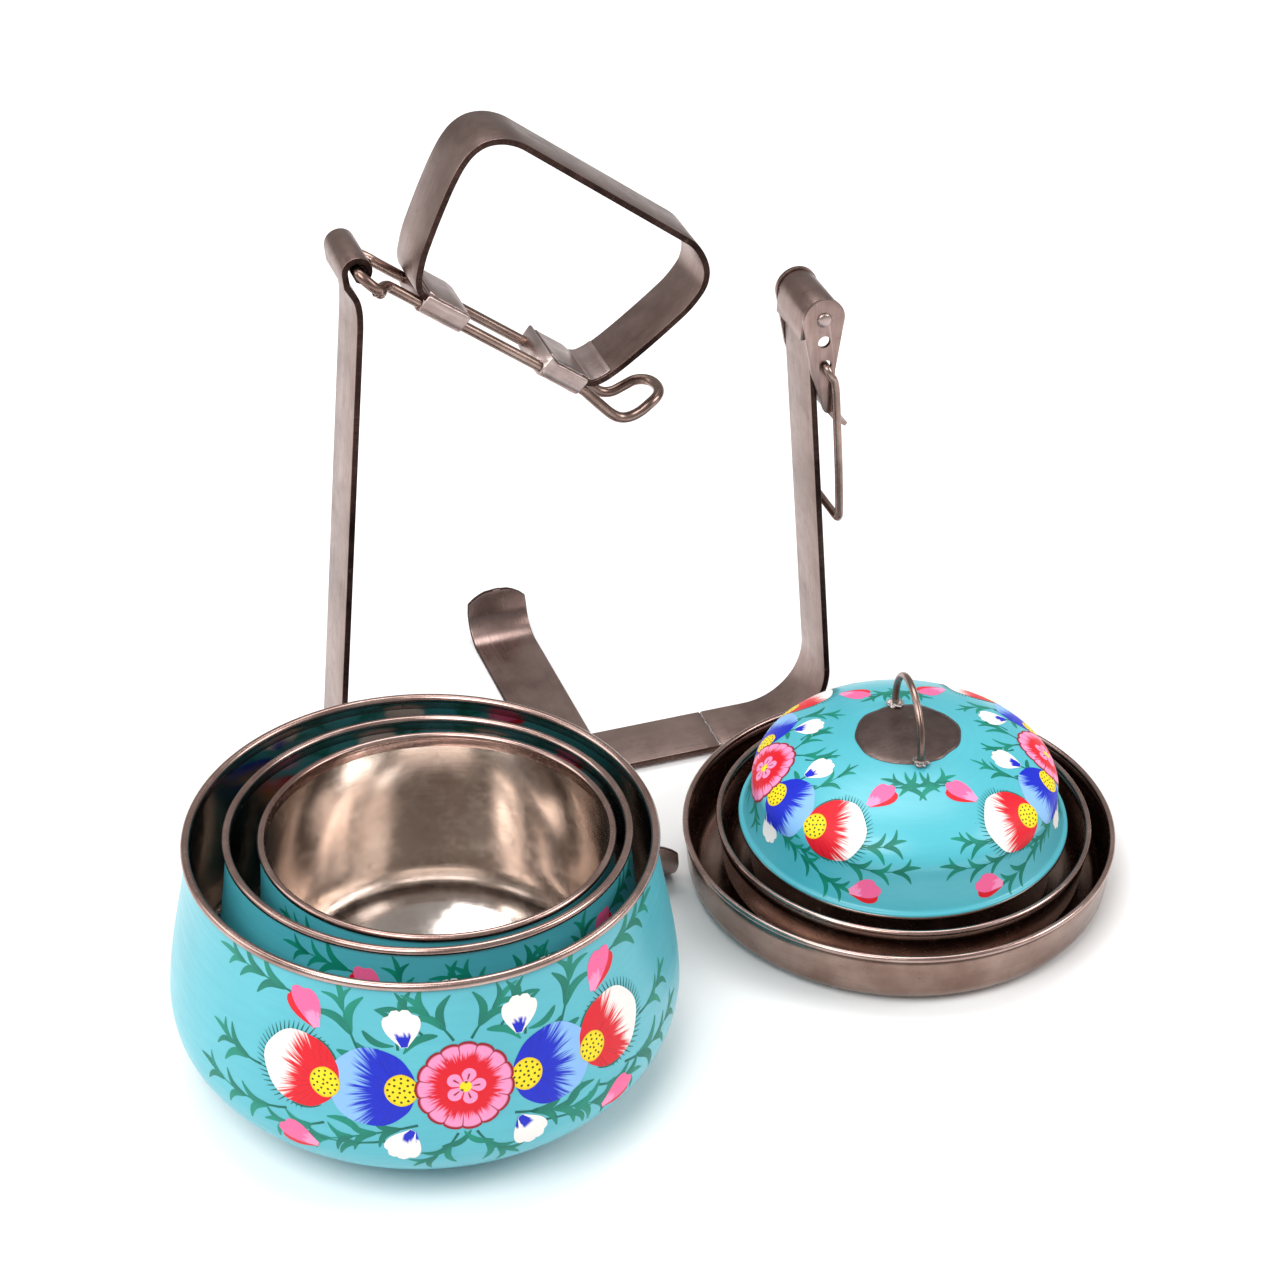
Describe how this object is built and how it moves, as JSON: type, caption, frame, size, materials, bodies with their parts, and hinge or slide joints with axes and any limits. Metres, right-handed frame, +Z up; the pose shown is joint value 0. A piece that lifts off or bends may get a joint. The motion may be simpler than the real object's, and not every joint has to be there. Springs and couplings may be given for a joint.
{
  "type": "tiffin carrier",
  "caption": "Stacking food carrier taken apart: strap frame with swinging handle and over-centre latch, nested belly bowls and nested lids.",
  "frame": {"origin": "on the floor under the crossing of the frame's two base straps", "axes": "+X along the base strap towards the latch upright, +Y along the cross strap away from the bowls, +Z up"},
  "size_m": [0.3719, 0.3337, 0.2884],
  "materials": {
    "strap_steel": "worn, dull brushed steel strap, warm grey-brown",
    "wire_steel": "worn steel wire, satin",
    "sheet_steel": "polished steel sheet, warm, lightly scratched",
    "paint": "hand-painted turquoise enamel with flowers outside, polished steel inside"
  },
  "bodies": {
    "carrier": {"frame_long": "strap_steel", "frame_short": "strap_steel", "frame_weld": "strap_steel", "cross_strap": "strap_steel", "cross_weld": "strap_steel"},
    "lever": {"latch_lever": "strap_steel", "latch_pin": "sheet_steel"},
    "bail_loop": {"bail": "wire_steel"},
    "swing": {"closing_wire": "wire_steel", "handle_strap": "strap_steel", "clip_left": "sheet_steel", "clip_right": "sheet_steel"},
    "large_bowl": {"bowl_large": "paint", "rim_large": "sheet_steel"},
    "medium_bowl": {"bowl_medium": "paint", "rim_medium": "sheet_steel"},
    "small_bowl": {"bowl_small": "paint", "rim_small": "sheet_steel"},
    "large_lid": {"plate_large": "sheet_steel", "plate_rim_large": "sheet_steel"},
    "medium_lid": {"plate_medium": "sheet_steel", "plate_rim_medium": "sheet_steel"},
    "dome_lid": {"dome": "paint", "dome_brim": "sheet_steel", "dome_boss": "sheet_steel", "ring_handle": "wire_steel"}
  },
  "joints": [
    {"name": "closing_hinge", "type": "hinge", "parent": "carrier", "child": "swing", "pos_m": [-0.08705, 0, 0.2446], "axis": [0, -1, 0], "range_deg": [0, 150]},
    {"name": "latch_hinge", "type": "hinge", "parent": "carrier", "child": "lever", "pos_m": [0.0923, 0, 0.1947], "axis": [0, -1, 0], "range_deg": [0, 170]},
    {"name": "bail_hinge", "type": "hinge", "parent": "lever", "child": "bail_loop", "pos_m": [0.0936, 0, 0.1746], "axis": [0, -1, 0], "range_deg": [0, 110]},
    {"name": "large_bowl_lift", "type": "slide", "parent": "carrier", "child": "large_bowl", "axis": [0, 0, 1], "range_m": [0, 0.06]},
    {"name": "medium_bowl_lift", "type": "slide", "parent": "large_bowl", "child": "medium_bowl", "axis": [0, 0, 1], "range_m": [0, 0.11]},
    {"name": "small_bowl_lift", "type": "slide", "parent": "medium_bowl", "child": "small_bowl", "axis": [0.0142, 0.0413, 0.999], "range_m": [0, 0.11]},
    {"name": "large_lid_lift", "type": "slide", "parent": "carrier", "child": "large_lid", "axis": [0, 0, 1], "range_m": [0, 0.06]},
    {"name": "medium_lid_lift", "type": "slide", "parent": "large_lid", "child": "medium_lid", "axis": [0, 0, 1], "range_m": [0, 0.05]},
    {"name": "dome_lift", "type": "slide", "parent": "medium_lid", "child": "dome_lid", "axis": [0, 0, 1], "range_m": [0, 0.06]}
  ]
}
